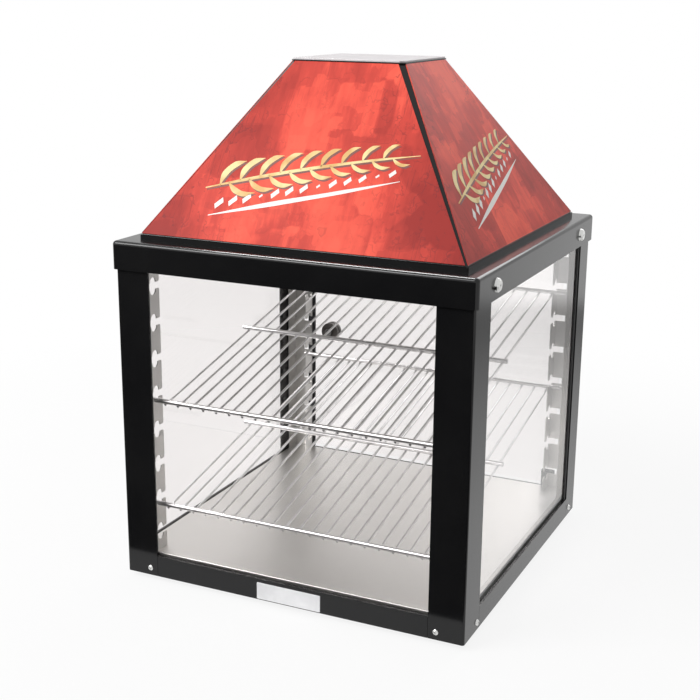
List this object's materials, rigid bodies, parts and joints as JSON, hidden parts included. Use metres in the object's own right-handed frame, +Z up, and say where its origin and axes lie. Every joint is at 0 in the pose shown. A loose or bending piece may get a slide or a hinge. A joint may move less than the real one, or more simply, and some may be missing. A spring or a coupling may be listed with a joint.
{
  "type": "sandwich warmer",
  "caption": "Counter-top heated display cabinet with glass walls, sloping wire shelves, a rear glass door and a pyramid-shaped sign on top.",
  "frame": {"origin": "plan centre of the cabinet, at the level of the soles of its feet", "axes": "+Z up, +Y to the back, where the door is, +X to the right as seen from the front"},
  "size_m": [0.4728, 0.472, 0.6481],
  "materials": {
    "black_enamel": "gloss black enamel",
    "red_panel": "satin red print on sheet",
    "pale_plate": "pale grey enamel",
    "satin_stainless": "satin stainless steel",
    "floor_stainless": "satin stainless steel",
    "ceiling_stainless": "satin stainless steel",
    "chrome_wire": "bright chrome plate",
    "clear_glass": "clear glass",
    "lens_glass": "frosted glass",
    "black_rubber": "matte black rubber",
    "zinc_screw": "bright zinc plate",
    "bare_silver": "satin silver",
    "dark_plastic": "satin black plastic",
    "control_plastic": "satin black plastic",
    "rocker_plastic": "gloss red plastic",
    "pilot_amber": "amber plastic",
    "galvanised": "galvanised steel",
    "motor_grey": "grey paint",
    "fan_plastic": "dark grey plastic",
    "heater_sheath": "oxidised steel sheath",
    "ceramic_white": "glazed ceramic",
    "frosted_bulb": "frosted glass"
  },
  "bodies": {
    "cabinet": {"base_pan": "black_enamel", "front_left_post": "black_enamel", "front_right_post": "black_enamel", "rear_left_post": "black_enamel", "rear_right_post": "black_enamel", "top_cap": "black_enamel", "sign_hood": "black_enamel", "rear_control_panel": "black_enamel", "lower_hinge_bracket": "black_enamel", "upper_hinge_bracket": "black_enamel", "front_sign_panel": "red_panel", "left_sign_panel": "red_panel", "right_sign_panel": "red_panel", "hood_top_plate": "pale_plate", "front_left_shelf_post": "satin_stainless", "front_right_shelf_post": "satin_stainless", "rear_left_shelf_post": "satin_stainless", "rear_right_shelf_post": "satin_stainless", "floor_tray": "floor_stainless", "ceiling_plate": "ceiling_stainless", "door_header": "ceiling_stainless", "fan_guard": "ceiling_stainless", "front_glass": "clear_glass", "left_glass": "clear_glass", "right_glass": "clear_glass", "lamp_lens": "lens_glass", "left_rear_gasket": "black_rubber", "right_rear_gasket": "black_rubber", "front_gaskets": "black_rubber", "glass_setting_strips": "black_rubber", "rubber_feet": "black_rubber", "base_screws": "zinc_screw", "cap_screws": "zinc_screw", "foot_screws": "zinc_screw", "door_magnet": "zinc_screw", "name_plate": "bare_silver", "switch_body": "control_plastic", "power_inlet": "control_plastic", "pilot_light": "pilot_amber", "fan_bridge": "galvanised", "heater_saddles": "galvanised", "fan_motor": "motor_grey", "thermostat_body": "motor_grey", "heater_element": "heater_sheath", "terminal_block": "ceramic_white", "lamp_socket": "ceramic_white", "lamp_bulb": "frosted_bulb"},
    "door": {"door_glass": "clear_glass", "door_edge_trim": "dark_plastic", "lower_pivot_clip": "dark_plastic", "upper_pivot_clip": "dark_plastic", "door_knob": "dark_plastic", "door_knob_screw": "zinc_screw", "door_strike_plate": "zinc_screw"},
    "upper_shelf": {"upper_shelf": "chrome_wire"},
    "lower_shelf": {"lower_shelf": "chrome_wire"},
    "fan": {"fan_blade": "fan_plastic"},
    "dial": {"thermostat_dial": "control_plastic"},
    "rocker": {"switch_rocker": "rocker_plastic"}
  },
  "joints": [
    {"name": "door_hinge", "type": "hinge", "parent": "cabinet", "child": "door", "pos_m": [0.197, 0.223, 0.221], "axis": [0, 0, -1], "range_deg": [0, 110]},
    {"name": "upper_shelf_lift", "type": "slide", "parent": "cabinet", "child": "upper_shelf", "axis": [0, 0, 1], "range_m": [0, 0.0075]},
    {"name": "lower_shelf_lift", "type": "slide", "parent": "cabinet", "child": "lower_shelf", "axis": [0, 0, 1], "range_m": [0, 0.0075]},
    {"name": "fan_spin", "type": "hinge", "parent": "cabinet", "child": "fan", "pos_m": [-0.075, 0.03, 0.426], "axis": [0, 0, 1], "continuous": true},
    {"name": "dial_turn", "type": "hinge", "parent": "cabinet", "child": "dial", "pos_m": [-0.042, 0.17487, 0.48527], "axis": [0, -0.834, -0.5517], "range_deg": [0, 270]},
    {"name": "rocker_tilt", "type": "hinge", "parent": "cabinet", "child": "rocker", "pos_m": [0.07, 0.17587, 0.48593], "axis": [1, 0, 0], "range_deg": [0, 15]}
  ]
}
